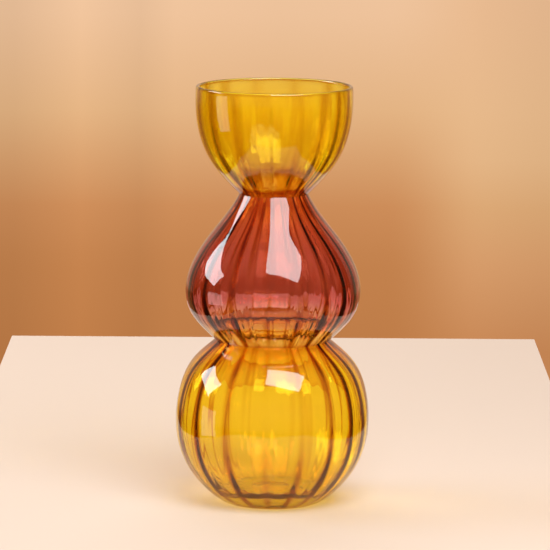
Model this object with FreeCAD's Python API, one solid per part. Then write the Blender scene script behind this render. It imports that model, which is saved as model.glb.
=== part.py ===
import FreeCAD, Part

import os
from math import cos, hypot, pi, radians, sin

# Hand blown art glass vase: three bubbles fused one above another on a flat pad of glass.  Each bubble
# is a smooth clear casing lined with a colour layer.  Sixteen soft upright optic ribs run down the
# inside of all three colour layers.  Millimetres, +Z up.  The origin is the middle of the underside.

os.makedirs("parts", exist_ok=True)

# Heights above the surface that the vase stands on
HEIGHT = 250.0                # top of the lip
NECK_1_Z = 185.7              # pinch between the top bowl and the middle bulb
NECK_2_Z = 98.0               # pinch between the middle bulb and the lower bulb
PAD_THICK = 3.0               # the pad under the lower bulb
FLOOR_Z = 6.2                 # inside floor of the lower bulb

# Outside radii
LIP_R = 46.7
NECK_1_R = 20.4
NECK_2_R = 34.1
FOOT_R = 29.4                 # edge of the flat underside

# Glass thickness, casing and colour layer together
RIM_WALL = 2.4
BOWL_WALL = 2.8
BULB_WALL = 3.4
NECK_WALL = 4.3               # at the pinch itself
NECK_FILLET = 6.0             # beside the pinch, where glass gathers and rounds the inside corner
COLOUR_WALL = 0.8             # the colour layer alone, between its ribs

LIP_Z = HEIGHT - RIM_WALL / 2   # where the rounded lip starts

# Outlines of the three bubbles from bottom to top: poles of one smooth cubic curve each, as radius,
# height and glass thickness.
UPPER_OUTLINE = [
    (NECK_1_R, NECK_1_Z, NECK_WALL),
    (23.2, 188.9, NECK_FILLET),
    (41.2, 203.4, BOWL_WALL),
    (47.5, 230.4, RIM_WALL),
    (LIP_R, LIP_Z, RIM_WALL),
]
MIDDLE_OUTLINE = [
    (NECK_2_R, NECK_2_Z, NECK_WALL),
    (40.9, 104.1, NECK_FILLET),
    (52.0, 114.5, BULB_WALL),
    (53.6, 136.0, BULB_WALL),
    (40.1, 159.5, BULB_WALL),
    (25.1, 175.9, NECK_FILLET),
    (NECK_1_R, NECK_1_Z, NECK_WALL),
]
LOWER_OUTLINE = [
    (FOOT_R, 0.0, FLOOR_Z),
    (33.4, 1.6, FLOOR_Z),
    (48.8, 14.4, 4.2),
    (60.9, 42.4, BULB_WALL),
    (54.2, 83.9, BULB_WALL),
    (39.5, 92.9, NECK_FILLET),
    (NECK_2_R, NECK_2_Z, NECK_WALL),
]
FLOOR_R = 18.0                # flat middle of the inside floor
FLOOR_BEND_R = 30.5           # where the floor starts to turn up into the wall

# Optic ribs, raised on the inside of each bubble
RIBS = 16
UPPER_RIB = 0.6               # full height of a rib in each bubble
MIDDLE_RIB = 1.1
LOWER_RIB = 1.3
RIB_SHARPNESS = 3             # power of the rounded ridge shape: higher is narrower
NECK_RIB_SHARE = 0.5          # how much of a rib is left at the pinches; at the lip there is none
RIB_TURN = -78.5              # degrees from +X to the first rib
# The spacing wanders round the vase, because the bubbles were turned by hand: each row is how far in
# degrees, how many times round, and where it starts in degrees.
RIB_WANDER = [(5.7, 1, 144.4), (6.4, 2, 54.5)]
POLES_PER_RIB = 8

# Ground pontil mark in the underside
PONTIL_R = 13.0
PONTIL_DEPTH = 1.0

DEGREE = 3
SEW_GAP = 1e-4
LEVEL = 1e-3                  # how flat an edge at one height is


def rib_angle(turn):
    """Direction in radians of the given rib number, which may lie between two ribs."""
    even = 360.0 * turn / RIBS
    wander = sum(size * sin(radians(times * even + start)) for size, times, start in RIB_WANDER)
    return radians(even + RIB_TURN + wander)


def rib_shape(turn):
    """Height of the ridge pattern, 1 on a rib and 0 between two ribs."""
    return cos(pi * turn) ** (2 * RIB_SHARPNESS)


def rib_share(height):
    """How much of a full rib is present at this height: all of it in a bulb, less at necks and lip."""
    if height > NECK_1_Z:
        up = (height - NECK_1_Z) / (LIP_Z - NECK_1_Z)
        ends = NECK_RIB_SHARE * (1 - up)
    elif height > NECK_2_Z:
        up = (height - NECK_2_Z) / (NECK_1_Z - NECK_2_Z)
        ends = NECK_RIB_SHARE
    else:
        up = 0.5 + 0.5 * height / NECK_2_Z
        ends = NECK_RIB_SHARE
    return ends + (1 - ends) * sin(pi * up)


def inward(points, index):
    """Unit direction from pole number index towards the hollow, level at the first and last pole."""
    if index in (0, len(points) - 1):
        return -1.0, 0.0
    run = points[index + 1][0] - points[index - 1][0]
    rise = points[index + 1][1] - points[index - 1][1]
    size = hypot(run, rise)
    return -rise / size, run / size


def inset(points, depths):
    """The outline moved inwards by one depth for each pole."""
    moved = []
    for index, depth in enumerate(depths):
        side, up = inward(points, index)
        radius, height = points[index][:2]
        moved.append((radius + side * depth, height + up * depth))
    return moved


def outline_curve(points):
    """One smooth cubic curve through the outline's poles, in the plane Y = 0."""
    poles = [FreeCAD.Vector(point[0], 0, point[1]) for point in points]
    spans = len(poles) - DEGREE
    mults = [DEGREE + 1] + [1] * (spans - 1) + [DEGREE + 1]
    curve = Part.BSplineCurve()
    curve.buildFromPolesMultsKnots(poles, mults, list(range(spans + 1)), False, DEGREE)
    return curve


def split_at_height(curve, height):
    """The parts of a rising curve below and above one height."""
    low, high = curve.FirstParameter, curve.LastParameter
    for _ in range(60):
        middle = (low + high) / 2
        if curve.value(middle).z < height:
            low = middle
        else:
            high = middle
    below, above = curve.copy(), curve.copy()
    below.segment(curve.FirstParameter, low)
    above.segment(low, curve.LastParameter)
    return below, above


def smooth_wall(curve):
    """The surface that an outline sweeps out round the axis."""
    return curve.toShape().revolve(FreeCAD.Vector(), FreeCAD.Vector(0, 0, 1), 360).Faces[0]


def ribbed_wall(points, rib_height, share=rib_share):
    """The face swept round the axis by an outline, with ribs that stand inwards from it."""
    curve = outline_curve(points)
    around = RIBS * POLES_PER_RIB
    # A closed cubic spline cuts its poles' corners: these two factors put the true sizes back.
    round_factor = 3 / (2 + cos(2 * pi / around))
    rib_factor = 3 / (2 + cos(2 * pi / POLES_PER_RIB))
    rows = []
    for step in range(around):
        turn = step / POLES_PER_RIB
        direction = rib_angle(turn)
        row = []
        for index, (radius, height) in enumerate(points):
            side, up = inward(points, index)
            ridge = rib_height * rib_factor * share(height) * rib_shape(turn)
            reach = (radius + side * ridge) * round_factor
            row.append(FreeCAD.Vector(reach * cos(direction), reach * sin(direction), height + up * ridge))
        rows.append(row)
    wall = Part.BSplineSurface()
    wall.buildFromPolesMultsKnots(
        rows, [1] * (around + 1), curve.getMultiplicities(),
        list(range(around + 1)), curve.getKnots(), True, False, DEGREE, DEGREE)
    return wall.toShape()


def rim_wire(wall, height):
    """The closed edge of a wall at this height."""
    for edge in wall.Edges:
        box = edge.BoundBox
        if box.ZLength < LEVEL and abs(box.ZMin - height) < LEVEL and edge.isClosed():
            return Part.Wire([edge])
    raise ValueError("no edge at height %s" % height)


def flat_ring(outer, inner):
    """The flat face between two closed edges that lie at one height."""
    return Part.makeFace([outer, inner], "Part::FaceMakerBullseye")


def solid_from(faces):
    """One closed solid sewn from its faces."""
    skin = Part.makeCompound(faces)
    skin.sewShape(SEW_GAP)
    solid = Part.makeSolid(Part.makeShell(skin.Faces))
    if solid.Volume < 0:
        solid.reverse()
    return solid


def lip_curve(outside, inside):
    """Outline of the fire-polished lip, rounded from the outer wall over to the inner wall."""
    outer_last, outer_before = outside[-1], outside[-2]
    inner_last, inner_before = inside[-1], inside[-2]
    rise = 2.0 / 3.0 * (outer_last[0] - inner_last[0])
    lean_out = (outer_last[0] - outer_before[0]) / (outer_last[1] - outer_before[1])
    lean_in = (inner_last[0] - inner_before[0]) / (inner_last[1] - inner_before[1])
    return outline_curve([
        outer_last,
        (outer_last[0] + lean_out * rise, outer_last[1] + rise),
        (inner_last[0] + lean_in * rise, inner_last[1] + rise),
        inner_last,
    ])


def floor_share(height):
    """Ribs on the inside of the lower bulb, which die away on the flat floor."""
    return 0.0 if height <= FLOOR_Z else rib_share(height)


def inside_of(outline):
    """Poles of the inner surface of a bubble."""
    return inset(outline, [point[2] for point in outline])


def colour_outside_of(inside):
    """Poles of the surface where a colour layer meets its casing."""
    return inset(inside, [-COLOUR_WALL] * len(inside))


def lower_inside():
    """Poles of the lower bulb's inner surface, which ends in a flat floor instead of a neck."""
    walls = inside_of(LOWER_OUTLINE)
    return [(FLOOR_R, FLOOR_Z), (FLOOR_BEND_R, FLOOR_Z)] + walls[2:]


def lower_colour_outside():
    """Poles of the outer surface of the lower colour layer, which covers the floor too."""
    walls = colour_outside_of(lower_inside())
    under = FLOOR_Z - COLOUR_WALL
    return [(FLOOR_R, under), (FLOOR_BEND_R, under)] + walls[2:]


def flat_disc(wall, height):
    """The flat face across the hole at one end of a wall."""
    return Part.Face(rim_wire(wall, height))


def open_shell(outer, inner, bottom_z, top_z):
    """A tube of glass between two walls, with a flat ring at each end."""
    rings = [flat_ring(rim_wire(outer, z), rim_wire(inner, z)) for z in (bottom_z, top_z)]
    return solid_from([outer, inner] + rings)


def upper_bowl():
    """Clear casing of the open bowl.  Its lip covers the top edge of the colour layer."""
    inside = inside_of(UPPER_OUTLINE)
    outside = [point[:2] for point in UPPER_OUTLINE]
    outer = smooth_wall(outline_curve(outside))
    inner = smooth_wall(outline_curve(colour_outside_of(inside)))
    lip = smooth_wall(lip_curve(outside, inside))
    bottom = flat_ring(rim_wire(outer, NECK_1_Z), rim_wire(inner, NECK_1_Z))
    lip_edge = Part.Wire([Part.makeCircle(inside[-1][0], FreeCAD.Vector(0, 0, LIP_Z))])
    step = flat_ring(rim_wire(inner, LIP_Z), lip_edge)
    return solid_from([outer, inner, lip, bottom, step])


def upper_bowl_colour():
    inside = inside_of(UPPER_OUTLINE)
    outer = smooth_wall(outline_curve(colour_outside_of(inside)))
    return open_shell(outer, ribbed_wall(inside, UPPER_RIB), NECK_1_Z, LIP_Z)


def middle_bulb():
    outer = smooth_wall(outline_curve(MIDDLE_OUTLINE))
    inner = smooth_wall(outline_curve(colour_outside_of(inside_of(MIDDLE_OUTLINE))))
    return open_shell(outer, inner, NECK_2_Z, NECK_1_Z)


def middle_bulb_colour():
    inside = inside_of(MIDDLE_OUTLINE)
    outer = smooth_wall(outline_curve(colour_outside_of(inside)))
    return open_shell(outer, ribbed_wall(inside, MIDDLE_RIB), NECK_2_Z, NECK_1_Z)


def lower_bulb():
    """Clear casing of the lower bulb, with a solid floor that sits on the pad."""
    outer = smooth_wall(split_at_height(outline_curve(LOWER_OUTLINE), PAD_THICK)[1])
    inner = smooth_wall(outline_curve(lower_colour_outside()))
    neck = flat_ring(rim_wire(outer, NECK_2_Z), rim_wire(inner, NECK_2_Z))
    floor = flat_disc(inner, FLOOR_Z - COLOUR_WALL)
    return solid_from([outer, inner, neck, floor, flat_disc(outer, PAD_THICK)])


def lower_bulb_colour():
    outer = smooth_wall(outline_curve(lower_colour_outside()))
    inner = ribbed_wall(lower_inside(), LOWER_RIB, floor_share)
    neck = flat_ring(rim_wire(outer, NECK_2_Z), rim_wire(inner, NECK_2_Z))
    floor = flat_disc(inner, FLOOR_Z)
    return solid_from([outer, inner, neck, floor, flat_disc(outer, FLOOR_Z - COLOUR_WALL)])


def base_pad():
    """The pad of glass the vase stands on, with a shallow ground pontil mark underneath."""
    side = smooth_wall(split_at_height(outline_curve(LOWER_OUTLINE), PAD_THICK)[0])
    pad = solid_from([side, flat_disc(side, 0.0), flat_disc(side, PAD_THICK)])
    ball_r = (PONTIL_R ** 2 + PONTIL_DEPTH ** 2) / (2 * PONTIL_DEPTH)
    return pad.cut(Part.makeSphere(ball_r, FreeCAD.Vector(0, 0, PONTIL_DEPTH - ball_r)))


PIECES = [
    base_pad,
    lower_bulb,
    lower_bulb_colour,
    middle_bulb,
    middle_bulb_colour,
    upper_bowl,
    upper_bowl_colour,
]

for piece in PIECES:
    shape = piece()
    shape.exportStep("parts/" + piece.__name__ + ".step")
    box = shape.optimalBoundingBox()
    print(piece.__name__, "valid", shape.isValid(), "solids", len(shape.Solids),
          "volume cm3", round(shape.Volume / 1000, 2), "closed", shape.isClosed(),
          "z", round(box.ZMin, 3), round(box.ZMax, 3), "width", round(box.XLength, 2))
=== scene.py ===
from math import cos, pi, radians, sin

import bmesh
import bpy
import numpy as np
from mathutils import Matrix, Vector


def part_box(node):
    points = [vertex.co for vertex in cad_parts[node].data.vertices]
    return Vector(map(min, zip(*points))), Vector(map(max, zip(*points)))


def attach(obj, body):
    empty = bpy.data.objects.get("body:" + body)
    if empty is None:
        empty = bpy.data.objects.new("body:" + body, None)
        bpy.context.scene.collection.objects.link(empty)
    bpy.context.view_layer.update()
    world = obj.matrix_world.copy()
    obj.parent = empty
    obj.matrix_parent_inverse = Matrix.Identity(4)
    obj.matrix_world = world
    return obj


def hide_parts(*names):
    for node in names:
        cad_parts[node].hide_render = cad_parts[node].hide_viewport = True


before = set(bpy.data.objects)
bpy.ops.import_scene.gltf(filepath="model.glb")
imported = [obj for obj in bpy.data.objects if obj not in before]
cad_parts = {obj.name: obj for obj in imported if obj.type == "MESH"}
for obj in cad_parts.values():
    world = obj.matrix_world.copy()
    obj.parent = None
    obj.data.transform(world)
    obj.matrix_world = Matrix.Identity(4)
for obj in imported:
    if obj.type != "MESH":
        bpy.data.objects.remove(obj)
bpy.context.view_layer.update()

# Hand blown art glass vase: seven pieces of glass that stand for the seven CAD nodes, with softer ribs,
# a slightly wavy surface and colour that changes with height.  Metres, in the CAD frame.

MM = 0.001

# ---------------------------------------------------------------------------------------------------
# Shape: the same driving dimensions and outlines as the CAD part, in millimetres
# ---------------------------------------------------------------------------------------------------

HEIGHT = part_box("upper_bowl")[1][2] / MM
NECK_1_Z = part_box("middle_bulb")[1][2] / MM
NECK_2_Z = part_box("lower_bulb")[1][2] / MM
PAD_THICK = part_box("base_pad")[1][2] / MM
FLOOR_Z = 6.2

LIP_R = 46.7
NECK_1_R = 20.4
NECK_2_R = 34.1
FOOT_R = 29.4

RIM_WALL = 2.4
BOWL_WALL = 2.8
BULB_WALL = 3.4
NECK_WALL = 4.3
NECK_FILLET = 6.0
COLOUR_WALL = 0.8
SEAM = 0.03                   # hairline between a casing and its colour layer
LIP_Z = HEIGHT - RIM_WALL / 2
LIP_ROUNDING = 2.0 / 3.0      # height of the lip's poles as a share of the wall, for a nearly round lip

# Outlines from bottom to top: radius, height and wall thickness at each pole of one smooth curve
UPPER_OUTLINE = [
    (NECK_1_R, NECK_1_Z, NECK_WALL),
    (23.2, 188.9, NECK_FILLET),
    (41.2, 203.4, BOWL_WALL),
    (47.5, 230.4, RIM_WALL),
    (LIP_R, LIP_Z, RIM_WALL),
]
MIDDLE_OUTLINE = [
    (NECK_2_R, NECK_2_Z, NECK_WALL),
    (40.9, 104.1, NECK_FILLET),
    (52.0, 114.5, BULB_WALL),
    (53.6, 136.0, BULB_WALL),
    (40.1, 159.5, BULB_WALL),
    (25.1, 175.9, NECK_FILLET),
    (NECK_1_R, NECK_1_Z, NECK_WALL),
]
LOWER_OUTLINE = [
    (FOOT_R, 0.0, FLOOR_Z),
    (33.4, 1.6, FLOOR_Z),
    (48.8, 14.4, 4.2),
    (60.9, 42.4, BULB_WALL),
    (54.2, 83.9, BULB_WALL),
    (39.5, 92.9, NECK_FILLET),
    (NECK_2_R, NECK_2_Z, NECK_WALL),
]
FLOOR_R = 18.0                # flat part of the floor inside the lower bulb
FLOOR_BEND_R = 30.5           # pole where that floor bends up into the wall
PONTIL_R = 13.0
PONTIL_DEPTH = 1.0

# Optic ribs
RIBS = 16
UPPER_RIB = 0.6
MIDDLE_RIB = 1.1
LOWER_RIB = 1.3
RIB_SHARPNESS = 3
NECK_RIB_SHARE = 0.5
OUTSIDE_RIB_SHARE = 0.1
INSIDE_RIB_SHARE = 0.6
RIB_TURN = -78.5              # degrees
RIB_WANDER = [(5.7, 1, 144.4), (6.4, 2, 54.5)]  # drift of the ribs: degrees, times round, start
RIB_UNEVENNESS = 0.35         # how much the ribs differ from each other
FLOOR_RIB_FADE = 10.0         # width over which the ribs rise at the edge of the flat floor

# Unevenness of hand blown glass: size in millimetres, times round, millimetres of rise for each radian
# of turn, and start in radians
WAVES = [
    (0.05, 3, 21.0, 0.4),
    (0.05, 5, -17.0, 2.1),
    (0.035, 8, 12.0, 4.0),
    (0.02, 13, -9.0, 1.2),
    (0.02, 21, 7.0, 0.9),
]
FLUTES = [
    (0.03, 47, 90.0, 0.3),
    (0.03, 60, -70.0, 1.9),
]
WAVE_END_POWER = 0.5          # how quickly the unevenness dies out at both ends of a wall

# Fine upright strands round the bottom of the middle bulb, strongest at one height
STRANDS = [
    (0.07, 64, 60.0, 0.7),
    (0.06, 91, -80.0, 2.6),
]
STRAND_Z = 112.0
STRAND_REACH = 9.0
OUTSIDE_STRAND_SHARE = 0.5

# Lines along the ribs, partly the deeper colour of the thicker rib glass and partly painted shade of the
# dark rib lines: wide bands in the bowl, thin lines in the bulbs
BOWL_LINE_SHARPNESS = 3
BULB_LINE_SHARPNESS = 12
BOWL_LINE_DEPTH = 0.4         # depth of the bowl's bands as a share of the bulbs' lines
LINE_SLIDE = 5.0              # degrees that the deeper colour has slid towards the front of the vase
LINE_DEPTH = 0.9              # how deep the lines are at the sides
# Painted shade: the rib lines are made deeper at the front of the vase, shallower at the back, and
# thinner at the front centre
LINE_FRONT = 0.4              # how much deeper they are at the front, and shallower at the back
LINE_CENTRE_FADE = 0.75       # but right at the front centre this share of them is missing
LINE_CENTRE_WIDTH = 10        # the higher this is, the narrower is the part where it is missing
LINE_FULL_Z = 35.0            # below this height the lines fade, down to the share at the foot
LINE_FOOT_SHARE = 0.15

# Mesh fineness
COLUMNS_PER_RIB = 32
WALL_ROWS = 80
LIP_ROWS = 13
FLOOR_ROWS = 10
PAD_EDGE_ROWS = 16
PONTIL_ROWS = 12
FOOT_RING_ROWS = 8
AROUND = RIBS * COLUMNS_PER_RIB
FLOOR_STEPS = np.linspace(1, 0.02, FLOOR_ROWS)  # rings of a flat disc, from its edge nearly to the axis
PONTIL_START_R = 0.3          # innermost ring of the pontil mark
DEGREE = 3                    # of the outline curves
CURVE_END_GAP = 1e-9          # keeps the very end of a curve inside its last span
CURVE_STEP = 1e-4             # step along a curve when its direction is measured
END_FADE = 0.04               # share of a wall over which its inward direction turns level at each end
PLACE_SAMPLES = 4001
SHARP_ANGLE = 35.0            # degrees
MERGE_DISTANCE = 1e-7         # metres

rng = np.random.default_rng(7)
TURNS = np.arange(AROUND) / COLUMNS_PER_RIB
EVEN = 360.0 * TURNS / RIBS
WANDER = sum(size * np.sin(np.radians(times * EVEN + start)) for size, times, start in RIB_WANDER)
ANGLES = np.radians(EVEN + RIB_TURN + WANDER)
RIB_STRENGTH = 1 + RIB_UNEVENNESS * rng.uniform(-1, 1, RIBS)
NEAREST_RIB = (np.arange(AROUND) + COLUMNS_PER_RIB // 2) % AROUND // COLUMNS_PER_RIB
RIB_PATTERN = np.cos(pi * TURNS) ** (2 * RIB_SHARPNESS) * RIB_STRENGTH[NEAREST_RIB]


def rib_share(height):
    """How much of a full rib is present at this height: all of it in a bulb, less at necks and lip."""
    up_bowl = (height - NECK_1_Z) / (LIP_Z - NECK_1_Z)
    up_middle = (height - NECK_2_Z) / (NECK_1_Z - NECK_2_Z)
    up_lower = 0.5 + 0.5 * height / NECK_2_Z
    up = np.where(height > NECK_1_Z, up_bowl, np.where(height > NECK_2_Z, up_middle, up_lower))
    ends = np.where(height > NECK_1_Z, NECK_RIB_SHARE * (1 - up_bowl), NECK_RIB_SHARE)
    return ends + (1 - ends) * np.sin(pi * np.clip(up, 0, 1))


def inward(points, index):
    """Unit direction from pole number index towards the hollow, level at the first and last pole."""
    if index in (0, len(points) - 1):
        return -1.0, 0.0
    run = points[index + 1][0] - points[index - 1][0]
    rise = points[index + 1][1] - points[index - 1][1]
    size = (run * run + rise * rise) ** 0.5
    return -rise / size, run / size


def inset(points, depths):
    """The outline moved inwards by one depth for each pole."""
    moved = []
    for index, depth in enumerate(depths):
        side, up = inward(points, index)
        moved.append((points[index][0] + side * depth, points[index][1] + up * depth))
    return moved


def basis(places, count):
    """Weights of the poles of a clamped cubic curve at the given places from 0 to 1."""
    spans = count - DEGREE
    knots = np.concatenate([[0] * DEGREE, np.arange(spans + 1), [spans] * DEGREE]).astype(float)
    at = np.minimum(np.asarray(places) * spans, spans - CURVE_END_GAP)
    weights = [((knots[i] <= at) & (at < knots[i + 1])).astype(float) for i in range(len(knots) - 1)]
    for degree in range(1, DEGREE + 1):
        higher = []
        for i in range(len(weights) - 1):
            total = np.zeros_like(at)
            if knots[i + degree] > knots[i]:
                total += (at - knots[i]) / (knots[i + degree] - knots[i]) * weights[i]
            if knots[i + degree + 1] > knots[i + 1]:
                share = (knots[i + degree + 1] - at) / (knots[i + degree + 1] - knots[i + 1])
                total += share * weights[i + 1]
            higher.append(total)
        weights = higher
    return np.array(weights).T


def curve(points, places):
    """Radius and height along an outline, and its inward direction there."""
    poles = np.array([point[:2] for point in points])
    here = basis(places, len(poles)) @ poles
    ahead = basis(np.clip(places + CURVE_STEP, 0, 1), len(poles)) @ poles
    behind = basis(np.clip(places - CURVE_STEP, 0, 1), len(poles)) @ poles
    along = ahead - behind
    size = np.hypot(along[:, 0], along[:, 1])
    side, up = -along[:, 1] / size, along[:, 0] / size
    # Level at both ends, so that the pieces meet in a flat ring
    fade = np.clip(np.minimum(places - places[0], places[-1] - places) / END_FADE, 0, 1)
    return here[:, 0], here[:, 1], side, up * fade


def waves(height, kinds):
    """Unevenness of hand blown glass, in millimetres, for every row and column."""
    total = np.zeros((len(height), AROUND))
    for size, turns, rise, phase in kinds:
        total += size * np.sin(turns * ANGLES[None, :] + height[:, None] / rise + phase)
    return total


def wall(points, rib_height, rows=WALL_ROWS, first=0.0, floor=False, kinds=(), strands=0.0):
    """Rings of points up a ribbed wall, in metres."""
    places = np.linspace(first, 1.0, rows)
    radius, height, side, up = curve(points, places)
    share = rib_share(height)
    if floor:
        share = share * np.clip((radius - FLOOR_R) / FLOOR_RIB_FADE, 0, 1)
    ridge = rib_height * share[:, None] * RIB_PATTERN[None, :]
    strand_share = strands * np.exp(-((height - STRAND_Z) / STRAND_REACH) ** 2)
    wave = waves(height, kinds) + waves(height, STRANDS) * strand_share[:, None]
    wave *= np.sin(pi * np.linspace(0, 1, rows))[:, None] ** WAVE_END_POWER
    depth = ridge + wave
    reach = radius[:, None] + side[:, None] * depth
    lift = height[:, None] + up[:, None] * depth
    return np.stack([reach * np.cos(ANGLES), reach * np.sin(ANGLES), lift], axis=-1) * MM


def outer_wall(outline, rib_height, first=0.0, strands=0.0):
    """The outside of a casing."""
    points = [point[:2] for point in outline]
    return wall(points, -rib_height * OUTSIDE_RIB_SHARE, first=first, kinds=WAVES, strands=strands)


def inner_wall(points, rib_height, floor=False, strands=0.0):
    """The inside of a colour layer."""
    kinds = WAVES + FLUTES
    return wall(points, rib_height * INSIDE_RIB_SHARE, floor=floor, kinds=kinds, strands=strands)


def joint_wall(points):
    """A smooth wall, where a casing and its colour layer meet."""
    return wall(points, 0.0)


def place_at_height(points, height):
    """Where on a rising outline a height is reached, from 0 to 1."""
    places = np.linspace(0, 1, PLACE_SAMPLES)
    heights = basis(places, len(points)) @ np.array([point[1] for point in points])
    return float(np.interp(height, heights, places))


def flat_rings(radii, height):
    """Level rings of the given radii."""
    radii = np.asarray(radii, float)[:, None]
    level = np.full((len(radii), AROUND), float(height))
    return np.stack([radii * np.cos(ANGLES), radii * np.sin(ANGLES), level], axis=-1) * MM


def flat_disc(edge):
    """Level rings from a closed edge line nearly to the axis."""
    rings = edge[None] * FLOOR_STEPS[:, None, None]
    rings[:, :, 2] = edge[0, 2]
    return rings


def bridge(first, second):
    """Two rings, for the narrow strip between one wall's edge and another's."""
    return np.stack([first, second])


def inside_of(outline):
    """The outline's inner surface: each pole moved in by its wall thickness."""
    return inset(outline, [point[2] for point in outline])


def colour_outside_of(inside, thickness=COLOUR_WALL):
    """The outer surface of the colour layer over an inner surface."""
    return inset(inside, [-thickness] * len(inside))


def lower_inside():
    """Inner surface of the lower bulb, from the flat part of its floor up."""
    return [(FLOOR_R, FLOOR_Z), (FLOOR_BEND_R, FLOOR_Z)] + inside_of(LOWER_OUTLINE)[2:]


def lower_colour_outside(thickness=COLOUR_WALL):
    """Outer surface of the lower bulb's colour layer."""
    under = FLOOR_Z - thickness
    return [(FLOOR_R, under), (FLOOR_BEND_R, under)] + colour_outside_of(lower_inside(), thickness)[2:]


def lip_outline(outside, inside):
    """Outline of the rounded lip, from the outer wall over to the inner wall."""
    rise = LIP_ROUNDING * (outside[-1][0] - inside[-1][0])
    lean_out = (outside[-1][0] - outside[-2][0]) / (outside[-1][1] - outside[-2][1])
    lean_in = (inside[-1][0] - inside[-2][0]) / (inside[-1][1] - inside[-2][1])
    return [
        outside[-1][:2],
        (outside[-1][0] + lean_out * rise, outside[-1][1] + rise),
        (inside[-1][0] + lean_in * rise, inside[-1][1] + rise),
        inside[-1],
    ]


# ---------------------------------------------------------------------------------------------------
# Meshes
# ---------------------------------------------------------------------------------------------------


def turned_piece(name, walls, closed):
    """One closed mesh from walls of rings, each wall with its own material number.

    closed joins the last ring back to the first; otherwise both ends close at a point on the axis.
    """
    points, faces, numbers = [], [], []
    count = 0
    for rings, number in walls:
        rows = len(rings)
        points.append(rings.reshape(-1, 3))
        for row in range(rows - 1):
            base = count + row * AROUND
            for column in range(AROUND):
                following = (column + 1) % AROUND
                faces.append((base + column, base + following,
                              base + AROUND + following, base + AROUND + column))
                numbers.append(number)
        count += rows * AROUND
    if not closed:
        points.append(np.array([[0, 0, walls[0][0][0, 0, 2]], [0, 0, walls[-1][0][-1, 0, 2]]]))
        end = count - AROUND
        for column in range(AROUND):
            following = (column + 1) % AROUND
            faces.append((count, following, column))
            numbers.append(walls[0][1])
            faces.append((end + column, end + following, count + 1))
            numbers.append(walls[-1][1])
    mesh = bpy.data.meshes.new(name)
    mesh.from_pydata(np.concatenate(points).tolist(), [], faces)
    mesh.polygons.foreach_set("material_index", numbers)
    mesh.polygons.foreach_set("use_smooth", [True] * len(faces))
    piece = bpy.data.objects.new(name, mesh)
    bpy.context.scene.collection.objects.link(piece)
    return piece


def join_seams(piece):
    """Merges the doubled rings where two walls meet, and keeps those corners crisp."""
    work = bmesh.new()
    work.from_mesh(piece.data)
    bmesh.ops.remove_doubles(work, verts=work.verts, dist=MERGE_DISTANCE)
    bmesh.ops.recalc_face_normals(work, faces=work.faces)
    for edge in work.edges:
        if len(edge.link_faces) == 2:
            kinds = {face.material_index for face in edge.link_faces}
            if len(kinds) == 2 or edge.calc_face_angle() > radians(SHARP_ANGLE):
                edge.smooth = False
    work.to_mesh(piece.data)
    work.free()


def add_rib_colour_and_shade_mask(piece, sharpness, depth):
    """Stores on every point how much a rib deepens the colour there, most along the middle of a rib:
    partly the deeper colour of thicker rib glass, partly painted shade that is deeper at the front of
    the vase.
    """
    mesh = piece.data
    spots = np.empty(len(mesh.vertices) * 3)
    mesh.vertices.foreach_get("co", spots)
    spots = spots.reshape(-1, 3)
    lines = np.mod(ANGLES - radians(LINE_SLIDE) * np.cos(ANGLES), 2 * pi)
    order = np.argsort(lines)
    # Painted shade: the lines deepen towards the front of the vase and fade at its front centre
    centre = LINE_CENTRE_FADE * np.clip(-np.sin(ANGLES), 0, 1) ** LINE_CENTRE_WIDTH
    strength = np.abs(np.cos(pi * TURNS)) ** (2 * sharpness) * (1 - centre)
    strength *= LINE_DEPTH - LINE_FRONT * np.sin(ANGLES)
    angle = np.mod(np.arctan2(spots[:, 1], spots[:, 0]), 2 * pi)
    mask = np.interp(angle, lines[order], strength[order], period=2 * pi) * depth
    low_fade = np.clip(spots[:, 2] / MM / LINE_FULL_Z, LINE_FOOT_SHARE, 1)
    layer = mesh.attributes.new("rib", "FLOAT", "POINT")
    layer.data.foreach_set("value", mask * low_fade)


# ---------------------------------------------------------------------------------------------------
# Materials
# ---------------------------------------------------------------------------------------------------

# Light that gets through both walls of the vase, by height in millimetres
THROUGH = [
    (0.0, (0.72, 0.48, 0.006)),
    (5.0, (0.86, 0.62, 0.012)),
    (12.0, (0.98, 0.72, 0.016)),
    (40.0, (1.0, 0.76, 0.020)),
    (76.0, (1.0, 0.72, 0.018)),
    (83.0, (1.0, 0.72, 0.022)),
    (90.0, (0.96, 0.44, 0.014)),
    (93.5, (0.88, 0.32, 0.011)),
    (96.0, (0.60, 0.11, 0.004)),
    (98.5, (0.66, 0.15, 0.006)),
    (100.5, (0.95, 0.56, 0.06)),
    (104.0, (1.0, 0.82, 0.24)),
    (108.0, (0.96, 0.66, 0.44)),
    (111.0, (0.76, 0.30, 0.28)),
    (114.0, (0.60, 0.14, 0.13)),
    (150.0, (0.56, 0.115, 0.10)),
    (168.0, (0.68, 0.15, 0.06)),
    (180.0, (0.80, 0.20, 0.012)),
    (186.0, (0.92, 0.28, 0.016)),
    (188.2, (0.42, 0.05, 0.002)),
    (190.2, (0.52, 0.09, 0.003)),
    (191.8, (1.0, 0.86, 0.020)),
    (207.0, (1.0, 0.90, 0.024)),
    (232.0, (0.98, 0.86, 0.026)),
    (250.0, (0.94, 0.83, 0.060)),
]
FRINGE = 8.0                  # depth of the uneven fringes where two colours meet
FRINGE_NOISE_SCALE = 90.0
FRINGE_NOISE_DETAIL = 2.0
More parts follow.
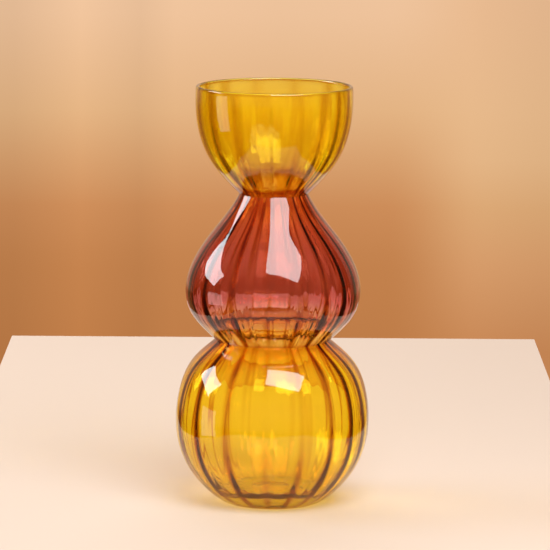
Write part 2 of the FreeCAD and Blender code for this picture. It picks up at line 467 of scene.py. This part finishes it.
# How that colour is shared out: the outer surface, the colour layer and the inner surface
OUTER_SHARE = 0.6
LAYER_SHARE = 0.25
INNER_SHARE = 0.15
# The rib tint below is the deeper colour of a rib and also painted shade of the dark rib lines
RIB_TINT_AND_SHADE = (0.62, 0.32, 0.05)  # light that gets through the deeper colour of a rib
RIB_DEPTH = 8.5
FILM_THICKNESS = 105.0        # nanometres; the film makes the inside of the upper bubbles gleam less
FILM_IOR = 1.36
LONGEST_SLANT = 3.5           # cap on how much a slanting path lengthens the way through the layer
LAMP_SHARE = 0.3              # part of the colour that lamp light picks up on its way to the floor
LAMP_TINT = (0.82, 0.79, 0.66)
BULB_HAZE = 0.03              # part of the light that the colour layer scatters
BOWL_HAZE = 0.11
BOWL_HAZE_RISE = (6.0, 16.0)  # heights above neck 1 between which the haze rises to the bowl's
HAZE_DEPTH = 3.0              # the haze is lit through this many times the depth of the colour
GLASS_IOR = 1.5


def node(tree, kind, **settings):
    """A new node with the given settings."""
    made = tree.nodes.new(kind)
    for key, value in settings.items():
        setattr(made, key, value)
    return made


def connect(tree, value, socket):
    """Links a socket, or sets a plain number."""
    if isinstance(value, (int, float)):
        socket.default_value = value
    else:
        tree.links.new(value, socket)


def sums(tree, operation, first, second, third=0.0):
    """The result of one step of arithmetic."""
    made = node(tree, "ShaderNodeMath", operation=operation)
    for value, socket in zip((first, second, third), made.inputs):
        connect(tree, value, socket)
    return made.outputs[0]


def raised(tree, colour, power):
    """A colour to a power, as light is tinted by a longer or shorter way through the glass."""
    made = node(tree, "ShaderNodeGamma")
    tree.links.new(colour, made.inputs["Color"])
    connect(tree, power, made.inputs["Gamma"])
    return made.outputs["Color"]


def rescaled(tree, value, start, end, low=0.0, high=1.0, **settings):
    """A value moved from the span start to end into the span low to high, and held at its ends."""
    made = node(tree, "ShaderNodeMapRange", **settings)
    tree.links.new(value, made.inputs["Value"])
    made.inputs["From Min"].default_value = start
    made.inputs["From Max"].default_value = end
    made.inputs["To Min"].default_value = low
    made.inputs["To Max"].default_value = high
    return made.outputs["Result"]


def ramp(tree, level, stops):
    """A ramp of colours, each with its place from 0 to 1."""
    made = node(tree, "ShaderNodeValToRGB")
    tree.links.new(level, made.inputs["Fac"])
    marks = made.color_ramp.elements
    while len(marks) < len(stops):
        marks.new(0.5)
    for mark, (place, colour) in zip(marks, stops):
        mark.position = place
        mark.color = (*colour, 1)
    return made.outputs["Color"]


def mixed(tree, factor, first, second):
    """Two shaders mixed, all of the first at a factor of 0."""
    both = node(tree, "ShaderNodeMixShader")
    tree.links.new(factor, both.inputs["Fac"])
    tree.links.new(first, both.inputs[1])
    tree.links.new(second, both.inputs[2])
    return both.outputs["Shader"]


def blend(tree, kind, factor, first, second):
    """Two colours blended."""
    mixer = node(tree, "ShaderNodeMix", data_type="RGBA", blend_type=kind)
    for value, name in ((factor, "Factor"), (first, "A"), (second, "B")):
        connect(tree, value, mixer.inputs[name])
    return mixer.outputs["Result"]


def surface(tree, shader):
    """Puts a shader on the material's surface."""
    out = node(tree, "ShaderNodeOutputMaterial")
    tree.links.new(shader, out.inputs["Surface"])


def position(tree):
    """The place of a point of the surface, and its height, in metres."""
    place = node(tree, "ShaderNodeNewGeometry").outputs["Position"]
    split = node(tree, "ShaderNodeSeparateXYZ")
    tree.links.new(place, split.inputs[0])
    return place, split.outputs["Z"]


def colour_by_height(tree):
    """The colour of the glass at each height; the colours meet in uneven fringes."""
    place, height = position(tree)
    noise = node(tree, "ShaderNodeTexNoise")
    noise.inputs["Scale"].default_value = FRINGE_NOISE_SCALE
    noise.inputs["Detail"].default_value = FRINGE_NOISE_DETAIL
    tree.links.new(place, noise.inputs["Vector"])
    uneven = sums(tree, "MULTIPLY_ADD", noise.outputs["Fac"], FRINGE * MM, height)
    level = rescaled(tree, uneven, FRINGE / 2 * MM, (HEIGHT + FRINGE / 2) * MM)
    return ramp(tree, level, [(mark / HEIGHT, colour) for mark, colour in THROUGH])


def blank_material(name):
    """A material with no nodes yet, and its node tree."""
    material = bpy.data.materials.new(name)
    material.use_nodes = True
    material.node_tree.nodes.clear()
    return material, material.node_tree


def glass_material(name, share, film=0.0):
    """Polished glass.  Lamps shine through it, so the floor gets a soft glow and not a black shadow."""
    material, tree = blank_material(name)
    shader = node(tree, "ShaderNodeBsdfPrincipled")
    shader.inputs["Transmission Weight"].default_value = 1.0
    shader.inputs["IOR"].default_value = GLASS_IOR
    shader.inputs["Roughness"].default_value = 0.0
    shader.inputs["Thin Film Thickness"].default_value = film
    shader.inputs["Thin Film IOR"].default_value = FILM_IOR
    tree.links.new(raised(tree, colour_by_height(tree), share), shader.inputs["Base Color"])
    lamps = node(tree, "ShaderNodeBsdfTransparent")
    lamps.inputs["Color"].default_value = (*LAMP_TINT, 1)
    ray = node(tree, "ShaderNodeLightPath")
    is_lamp = ray.outputs["Is Shadow Ray"]
    surface(tree, mixed(tree, is_lamp, shader.outputs["BSDF"], lamps.outputs["BSDF"]))
    return material


def colour_layer():
    """Stained skin between casing and lining: deeper where light crosses at a slant, and deeper in the
    ribs, partly from thicker rib glass and partly from painted shade.
    """
    material, tree = blank_material("colour_layer")
    colour = colour_by_height(tree)
    slant = node(tree, "ShaderNodeLayerWeight")
    slant.inputs["Blend"].default_value = 0.5  # Facing is then one less the cosine of the slant
    square_on = sums(tree, "SUBTRACT", 1.0, slant.outputs["Facing"])
    square_on = sums(tree, "MAXIMUM", square_on, 1.0 / LONGEST_SLANT)
    ray = node(tree, "ShaderNodeLightPath")
    lamp = sums(tree, "MULTIPLY_ADD", ray.outputs["Is Shadow Ray"], LAMP_SHARE - 1, 1.0)
    power = sums(tree, "MULTIPLY", sums(tree, "DIVIDE", LAYER_SHARE / 2, square_on), lamp)
    # The rib mask adds painted shade of the dark rib lines on top of the deeper colour of thicker rib
    # glass
    mask = node(tree, "ShaderNodeAttribute", attribute_name="rib")
    longer = sums(tree, "SUBTRACT", sums(tree, "DIVIDE", 1.0, square_on), 1.0)
    deeper = sums(tree, "MULTIPLY", sums(tree, "MULTIPLY", longer, RIB_DEPTH), mask.outputs["Fac"])
    deeper = sums(tree, "MULTIPLY", deeper, lamp)
    rib_colour_and_shade = node(tree, "ShaderNodeRGB")
    rib_colour_and_shade.outputs[0].default_value = (*RIB_TINT_AND_SHADE, 1)
    in_ribs = raised(tree, rib_colour_and_shade.outputs[0], deeper)
    stain = blend(tree, "MULTIPLY", 1.0, raised(tree, colour, power), in_ribs)
    clear = node(tree, "ShaderNodeBsdfTransparent")
    tree.links.new(stain, clear.inputs["Color"])
    haze = node(tree, "ShaderNodeBsdfDiffuse")
    tree.links.new(raised(tree, colour, HAZE_DEPTH), haze.inputs["Color"])
    height = position(tree)[1]
    start, end = [(NECK_1_Z + rise) * MM for rise in BOWL_HAZE_RISE]
    cloudy = rescaled(tree, height, start, end, BULB_HAZE, BOWL_HAZE)
    surface(tree, mixed(tree, cloudy, clear.outputs["BSDF"], haze.outputs["BSDF"]))
    return material


def fused_joint():
    """Glass fused to glass of the same kind has no optical surface, so this face can't be seen."""
    material, tree = blank_material("fused_joint")
    surface(tree, node(tree, "ShaderNodeBsdfTransparent").outputs["BSDF"])
    return material


MATERIALS = [
    glass_material("casing_glass", OUTER_SHARE),
    fused_joint(),
    glass_material("inner_glass", INNER_SHARE),
    colour_layer(),
    glass_material("dim_inner_glass", INNER_SHARE, FILM_THICKNESS),
]
SHOWS, JOINT, LINING, LAYER, DIM_LINING = range(len(MATERIALS))


# ---------------------------------------------------------------------------------------------------
# The seven pieces of glass
# ---------------------------------------------------------------------------------------------------


def finish_piece(piece, nodes, line_sharpness=BULB_LINE_SHARPNESS, line_depth=1.0):
    """Joins the seams, adds the rib mask and the materials, hangs the piece under the root body, and
    hides the CAD node that it stands for.
    """
    join_seams(piece)
    add_rib_colour_and_shade_mask(piece, line_sharpness, line_depth)
    for material in MATERIALS:
        piece.data.materials.append(material)
    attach(piece, "root")
    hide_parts(nodes)


def build_upper_bowl():
    inside = inside_of(UPPER_OUTLINE)
    outside = [point[:2] for point in UPPER_OUTLINE]
    outer = outer_wall(UPPER_OUTLINE, UPPER_RIB)
    lip = wall(lip_outline(outside, inside), 0.0, rows=LIP_ROWS)
    inner = joint_wall(colour_outside_of(inside))
    glass = turned_piece("upper_bowl_glass", [
        (outer, SHOWS), (lip, SHOWS), (bridge(lip[-1], inner[-1]), JOINT), (inner[::-1], JOINT),
        (bridge(inner[0], outer[0]), JOINT)], closed=True)
    finish_piece(glass, "upper_bowl")
    skin = joint_wall(colour_outside_of(inside, COLOUR_WALL - SEAM))
    lining = inner_wall(inside, UPPER_RIB)
    colour = turned_piece("upper_bowl_lining", [
        (skin, LAYER), (bridge(skin[-1], lining[-1]), JOINT), (lining[::-1], DIM_LINING),
        (bridge(lining[0], skin[0]), JOINT)], closed=True)
    finish_piece(colour, "upper_bowl_colour", BOWL_LINE_SHARPNESS,
                 BOWL_LINE_DEPTH)


def build_middle_bulb():
    inside = inside_of(MIDDLE_OUTLINE)
    outer = outer_wall(MIDDLE_OUTLINE, MIDDLE_RIB, strands=OUTSIDE_STRAND_SHARE)
    inner = joint_wall(colour_outside_of(inside))
    glass = turned_piece("middle_bulb_glass", [
        (outer, SHOWS), (bridge(outer[-1], inner[-1]), JOINT), (inner[::-1], JOINT),
        (bridge(inner[0], outer[0]), JOINT)], closed=True)
    finish_piece(glass, "middle_bulb")
    skin = joint_wall(colour_outside_of(inside, COLOUR_WALL - SEAM))
    lining = inner_wall(inside, MIDDLE_RIB, strands=1.0)
    colour = turned_piece("middle_bulb_lining", [
        (skin, LAYER), (bridge(skin[-1], lining[-1]), JOINT), (lining[::-1], DIM_LINING),
        (bridge(lining[0], skin[0]), JOINT)], closed=True)
    finish_piece(colour, "middle_bulb_colour")


def build_lower_bulb():
    """Builds the lower bulb, and returns the ring where it meets the pad."""
    first = place_at_height(LOWER_OUTLINE, PAD_THICK)
    outer = outer_wall(LOWER_OUTLINE, LOWER_RIB, first)
    inner = joint_wall(lower_colour_outside())
    under = flat_disc(outer[0])[::-1]
    glass = turned_piece("lower_bulb_glass", [
        (under, JOINT), (outer, SHOWS), (bridge(outer[-1], inner[-1]), JOINT), (inner[::-1], JOINT),
        (flat_rings(FLOOR_R * FLOOR_STEPS, FLOOR_Z - COLOUR_WALL), JOINT)], closed=False)
    finish_piece(glass, "lower_bulb")
    skin = joint_wall(lower_colour_outside(COLOUR_WALL - SEAM))
    skin_floor = flat_rings(FLOOR_R * FLOOR_STEPS, FLOOR_Z - COLOUR_WALL + SEAM)[::-1]
    lining = inner_wall(lower_inside(), LOWER_RIB, floor=True)
    lining_floor = flat_rings(FLOOR_R * FLOOR_STEPS, FLOOR_Z)
    colour = turned_piece("lower_bulb_lining", [
        (skin_floor, LAYER), (skin, LAYER), (bridge(skin[-1], lining[-1]), JOINT),
        (lining[::-1], LINING), (lining_floor, LINING)], closed=False)
    finish_piece(colour, "lower_bulb_colour")
    return outer[0]


def build_base_pad(top_edge):
    """Builds the pad, with its hollow pontil mark, up to the ring where it meets the lower bulb."""
    last = place_at_height(LOWER_OUTLINE, PAD_THICK)
    places = np.linspace(0, last, PAD_EDGE_ROWS)
    radius, height = curve([point[:2] for point in LOWER_OUTLINE], places)[:2]
    edge = flat_rings(radius, 0.0)
    edge[:, :, 2] = height[:, None] * MM
    edge[-1] = top_edge
    # The pontil mark is a shallow part of a ball
    ball_r = (PONTIL_R ** 2 + PONTIL_DEPTH ** 2) / (2 * PONTIL_DEPTH)
    pontil_r = np.linspace(PONTIL_START_R, PONTIL_R, PONTIL_ROWS)
    pontil = flat_rings(pontil_r, 0.0)
    pontil[:, :, 2] = ((PONTIL_DEPTH - ball_r + np.sqrt(ball_r ** 2 - pontil_r ** 2)) * MM)[:, None]
    foot_ring = flat_rings(np.linspace(PONTIL_R, FOOT_R, FOOT_RING_ROWS), 0.0)
    pad = turned_piece("base_pad_glass", [
        (pontil, SHOWS), (foot_ring, SHOWS), (edge, SHOWS), (flat_disc(top_edge), JOINT)], closed=False)
    finish_piece(pad, "base_pad")


build_upper_bowl()
build_middle_bulb()
build_base_pad(build_lower_bulb())

# ---------------------------------------------------------------------------------------------------
# Floor, backdrop, lights and camera
# ---------------------------------------------------------------------------------------------------

TABLE_BACK = 0.57
TABLE_HALF = 0.195
TABLE_FRONT = 0.28
CLOTH_COLOUR = (0.57, 0.475, 0.395)
CLOTH_ROUGHNESS = 0.9
CLOTH_SPECULAR = 0.1
# Painted light on the table under the vase, standing for light that the vase gathers there: the cloth
# glows, full inside the first radius, and none outside the second
PAINTED_GLOW_R = (0.026, 0.036)
PAINTED_GLOW_STRENGTH = 0.15
PAINTED_GLOW_COLOUR = (1.0, 0.70, 0.15)

# Colour of the backdrop by elevation in degrees: on the left and in the middle, and on the right
BACKDROP = [
    (-10.0, (0.51, 0.20, 0.063), (0.57, 0.24, 0.090)),
    (-8.7, (0.54, 0.22, 0.074), (0.67, 0.33, 0.144)),
    (-7.9, (0.60, 0.26, 0.098), (0.71, 0.39, 0.178)),
    (-7.2, (0.68, 0.35, 0.156), (0.77, 0.46, 0.235)),
    (-6.5, (0.76, 0.445, 0.223), (0.79, 0.48, 0.255)),
    (-5.0, (0.85, 0.54, 0.328), (0.80, 0.485, 0.275)),
    (10.0, (0.80, 0.56, 0.42), (0.80, 0.56, 0.42)),
    (60.0, (0.35, 0.27, 0.22), (0.35, 0.27, 0.22)),
]
# Sideways part of the direction: where the backdrop turns into its right-hand part
RIGHT_PART = (0.028, 0.055)
# Soft folds in the backdrop: brightness by the sideways part of the direction
FOLDS = [
    (-0.067, 0.90),
    (-0.050, 1.05),
    (-0.035, 0.95),
    (-0.026, 1.03),
    (0.0, 1.0),
    (0.05, 1.02),
    (0.068, 0.95),
]
# How bright the room is all round, by the depth part of the direction: front, sides, backdrop
ROOM = [
    (-1.0, (0.85, 0.68, 0.55)),
    (-0.1, (0.60, 0.46, 0.36)),
    (0.2, (0.28, 0.17, 0.09)),
    (0.6, (0.28, 0.17, 0.09)),
    (0.85, (1.0, 1.0, 1.0)),
    (1.0, (1.0, 1.0, 1.0)),
]

CAMERA_LENS = 254.7           # millimetres, as is the sensor
CAMERA_SENSOR = 36.0
CAMERA_PITCH = 8.9            # degrees that it looks down
CAMERA_ROLL = 0.4             # degrees
CAMERA_DISTANCE = 2.322
CAMERA_TARGET = (0.0011, 0, 0.1365)
FAR_CLIP = 50

# Enough for light to cross every surface of the vase
TRANSPARENT_BOUNCES = 64
TRANSMISSION_BOUNCES = 24
ALL_BOUNCES = 32


def build_floor():
    mesh = bpy.data.meshes.new("floor")
    corners = [(-TABLE_HALF, -TABLE_FRONT, 0), (TABLE_HALF, -TABLE_FRONT, 0),
               (TABLE_HALF, TABLE_BACK, 0), (-TABLE_HALF, TABLE_BACK, 0)]
    mesh.from_pydata(corners, [], [(0, 1, 2, 3)])
    floor = bpy.data.objects.new("floor", mesh)
    bpy.context.scene.collection.objects.link(floor)
    material = bpy.data.materials.new("floor_cloth")
    material.use_nodes = True
    tree = material.node_tree
    shader = tree.nodes["Principled BSDF"]
    shader.inputs["Base Color"].default_value = (*CLOTH_COLOUR, 1)
    shader.inputs["Roughness"].default_value = CLOTH_ROUGHNESS
    shader.inputs["Specular IOR Level"].default_value = CLOTH_SPECULAR
    place = node(tree, "ShaderNodeTexCoord")
    from_axis = node(tree, "ShaderNodeVectorMath", operation="LENGTH")
    tree.links.new(place.outputs["Object"], from_axis.inputs[0])
    # Painted light: a warm emission on the cloth under the vase
    glow = rescaled(tree, from_axis.outputs["Value"], *PAINTED_GLOW_R, PAINTED_GLOW_STRENGTH, 0.0,
                    interpolation_type="SMOOTHSTEP")
    shader.inputs["Emission Color"].default_value = (*PAINTED_GLOW_COLOUR, 1)
    tree.links.new(glow, shader.inputs["Emission Strength"])
    mesh.materials.append(material)


def spread_ramp(tree, value, stops):
    """A ramp of colours over the values that its stops span."""
    low, high = stops[0][0], stops[-1][0]
    level = rescaled(tree, value, low, high)
    return ramp(tree, level, [((mark - low) / (high - low), colour) for mark, colour in stops])


def build_world():
    world = bpy.data.worlds.new("studio")
    bpy.context.scene.world = world
    world.use_nodes = True
    tree = world.node_tree
    place = node(tree, "ShaderNodeTexCoord")
    split = node(tree, "ShaderNodeSeparateXYZ")
    tree.links.new(place.outputs["Generated"], split.inputs[0])
    across, depth, rise = split.outputs
    left_stops = [(sin(radians(up)), left) for up, left, right in BACKDROP]
    right_stops = [(sin(radians(up)), right) for up, left, right in BACKDROP]
    side = rescaled(tree, across, *RIGHT_PART, interpolation_type="SMOOTHSTEP")
    left_part = spread_ramp(tree, rise, left_stops)
    right_part = spread_ramp(tree, rise, right_stops)
    folds = spread_ramp(tree, across, [(mark, (share,) * 3) for mark, share in FOLDS])
    backdrop = blend(tree, "MULTIPLY", 1.0, blend(tree, "MIX", side, left_part, right_part), folds)
    room = spread_ramp(tree, depth, ROOM)
    lit = blend(tree, "MULTIPLY", 1.0, backdrop, room)
    tree.links.new(lit, tree.nodes["Background"].inputs["Color"])


def softbox(name, direction, tilt, distance, size, radiance, colour=(1, 1, 1)):
    """A rectangular area light that faces the middle of the vase, tilted in its own plane in degrees."""
    width, height = size
    data = bpy.data.lights.new(name, "AREA")
    data.shape = "RECTANGLE"
    data.size = width
    data.size_y = height
    data.energy = radiance * width * height * pi
    data.color = colour
    lamp = bpy.data.objects.new(name, data)
    bpy.context.scene.collection.objects.link(lamp)
    way = Vector(direction).normalized()
    lamp.location = Vector((0, 0, HEIGHT * MM / 2)) + way * distance
    facing = way.to_track_quat("Z", "Y").to_matrix() @ Matrix.Rotation(radians(tilt), 3, "Z")
    lamp.rotation_euler = facing.to_euler()
    return lamp


def build_lights():
    softbox("key_softbox", (0.238, -0.571, 0.786), tilt=-29, distance=1.1, size=(0.82, 0.65),
            radiance=10.0)
    softbox("side_window", (-0.894, 0.138, 0.426), tilt=-20, distance=1.5, size=(0.95, 0.50),
            radiance=10.0, colour=(0.95, 0.97, 1.0))
    low_window = softbox("side_window_low", (-0.975, -0.137, -0.14), tilt=0, distance=1.5,
                         size=(0.53, 0.50), radiance=1.9)
    low_window.visible_transmission = False
    fill = softbox("table_fill", (-0.08, 0.78, 0.62), tilt=0, distance=1.55, size=(1.7, 1.0),
                   radiance=3.5)
    fill.visible_glossy = False
    fill.visible_transmission = False


def build_camera():
    data = bpy.data.cameras.new("camera")
    data.lens = CAMERA_LENS
    data.sensor_width = CAMERA_SENSOR
    data.clip_end = FAR_CLIP
    camera = bpy.data.objects.new("camera", data)
    bpy.context.scene.collection.objects.link(camera)
    pitch = radians(CAMERA_PITCH)
    back = Vector((0, -cos(pitch), sin(pitch)))
    camera.location = Vector(CAMERA_TARGET) + back * CAMERA_DISTANCE
    look_down = Matrix.Rotation(pi / 2 - pitch, 3, "X")
    roll = Matrix.Rotation(radians(CAMERA_ROLL), 3, "Z")
    camera.rotation_euler = (look_down @ roll).to_euler()
    bpy.context.scene.camera = camera


build_floor()
build_world()
build_lights()
build_camera()
bpy.context.scene.view_settings.view_transform = "Standard"
bpy.context.scene.cycles.transparent_max_bounces = TRANSPARENT_BOUNCES
bpy.context.scene.cycles.transmission_bounces = TRANSMISSION_BOUNCES
bpy.context.scene.cycles.max_bounces = ALL_BOUNCES
